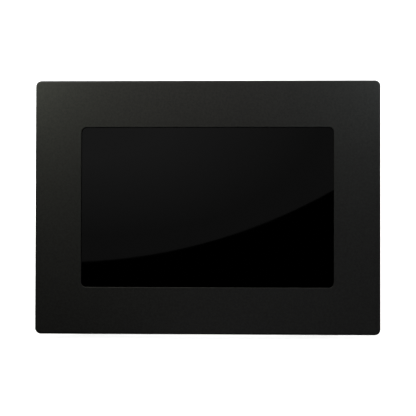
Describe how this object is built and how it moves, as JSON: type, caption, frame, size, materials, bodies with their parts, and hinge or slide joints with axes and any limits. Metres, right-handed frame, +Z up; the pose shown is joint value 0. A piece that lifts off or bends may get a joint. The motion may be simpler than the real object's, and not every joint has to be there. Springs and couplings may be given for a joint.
{
  "type": "digital photo frame",
  "caption": "Flat black screen in a wide metal surround, leaning back on a fold-out leg, with ports at the side and buttons behind.",
  "frame": {"origin": "on the table under the middle of the leaning frame's bounding box", "axes": "+X to the right of someone who looks at the screen, +Y from the screen towards the leg, +Z up"},
  "size_m": [0.24, 0.0808, 0.1742],
  "materials": {
    "powder_coat": "fine sand texture black powder coat on pressed steel",
    "black_abs": "black moulded ABS with a fine spark texture",
    "glass": "tempered cover glass over a dark screen",
    "lcd_glass": "display cell with black polariser",
    "acrylic": "clear acrylic light guide with white dots",
    "foam": "black closed cell foam tape",
    "steel": "bright zinc plated sheet steel",
    "zinc": "nickel plated steel",
    "solder_mask": "green solder mask on glass epoxy board",
    "epoxy": "black moulded epoxy",
    "flex_film": "amber polyimide film",
    "button_rubber": "dark grey moulded button caps",
    "speaker_black": "black speaker cone and basket",
    "lead_pvc": "black PVC insulation",
    "rubber": "black moulded rubber"
  },
  "bodies": {
    "frame": {"audio_jack": "black_abs", "backlight_tray": "steel", "board_screw_1": "zinc", "board_screw_2": "zinc", "board_screw_3": "zinc", "board_screw_4": "zinc", "card_slot": "steel", "chassis_plate": "steel", "chassis_screw_1": "zinc", "chassis_screw_2": "zinc", "chassis_screw_3": "zinc", "chassis_screw_4": "zinc", "coin_cell": "zinc", "coin_cell_holder": "black_abs", "cover_glass": "glass", "dc_jack": "black_abs", "front_shell": "powder_coat", "glass_tape": "foam", "housing_screw_1": "zinc", "housing_screw_2": "zinc", "housing_screw_3": "zinc", "housing_screw_4": "zinc", "housing_screw_5": "zinc", "housing_screw_6": "zinc", "key_board": "solder_mask", "key_board_screw_1": "zinc", "key_board_screw_2": "zinc", "key_ribbon": "flex_film", "key_switch_1": "epoxy", "key_switch_2": "epoxy", "key_switch_3": "epoxy", "key_switch_4": "epoxy", "key_switch_5": "epoxy", "lcd_cell": "lcd_glass", "lcd_flex": "flex_film", "lcd_gasket": "foam", "light_guide": "acrylic", "main_board": "solder_mask", "processor": "epoxy", "rear_housing": "black_abs", "rubber_foot_left": "rubber", "rubber_foot_right": "rubber", "speaker_lead_left": "lead_pvc", "speaker_lead_right": "lead_pvc", "speaker_left": "speaker_black", "speaker_right": "speaker_black", "stand_clip_left": "steel", "stand_clip_right": "steel", "stand_pin": "steel", "stand_washer_left": "steel", "stand_washer_right": "steel", "usb_port": "steel"},
    "stand": {"stand_leg": "black_abs", "stand_tip": "rubber"},
    "power_button": {"button_power": "button_rubber"},
    "menu_button": {"button_menu": "button_rubber"},
    "previous_button": {"button_previous": "button_rubber"},
    "play_button": {"button_play": "button_rubber"},
    "next_button": {"button_next": "button_rubber"}
  },
  "joints": [
    {"name": "stand_fold", "type": "hinge", "parent": "frame", "child": "stand", "pos_m": [0, 0.00856, 0.10682], "axis": [-1, 0, 0], "range_deg": [0, 30]},
    {"name": "power_press", "type": "slide", "parent": "frame", "child": "power_button", "axis": [0, -0.9659, 0.2588], "range_m": [0, 0.0008], "stiffness_N_per_m": 1500},
    {"name": "menu_press", "type": "slide", "parent": "frame", "child": "menu_button", "axis": [0, -0.9659, 0.2588], "range_m": [0, 0.0008], "stiffness_N_per_m": 1500},
    {"name": "previous_press", "type": "slide", "parent": "frame", "child": "previous_button", "axis": [0, -0.9659, 0.2588], "range_m": [0, 0.0008], "stiffness_N_per_m": 1500},
    {"name": "play_press", "type": "slide", "parent": "frame", "child": "play_button", "axis": [0, -0.9659, 0.2588], "range_m": [0, 0.0008], "stiffness_N_per_m": 1500},
    {"name": "next_press", "type": "slide", "parent": "frame", "child": "next_button", "axis": [0, -0.9659, 0.2588], "range_m": [0, 0.0008], "stiffness_N_per_m": 1500}
  ]
}
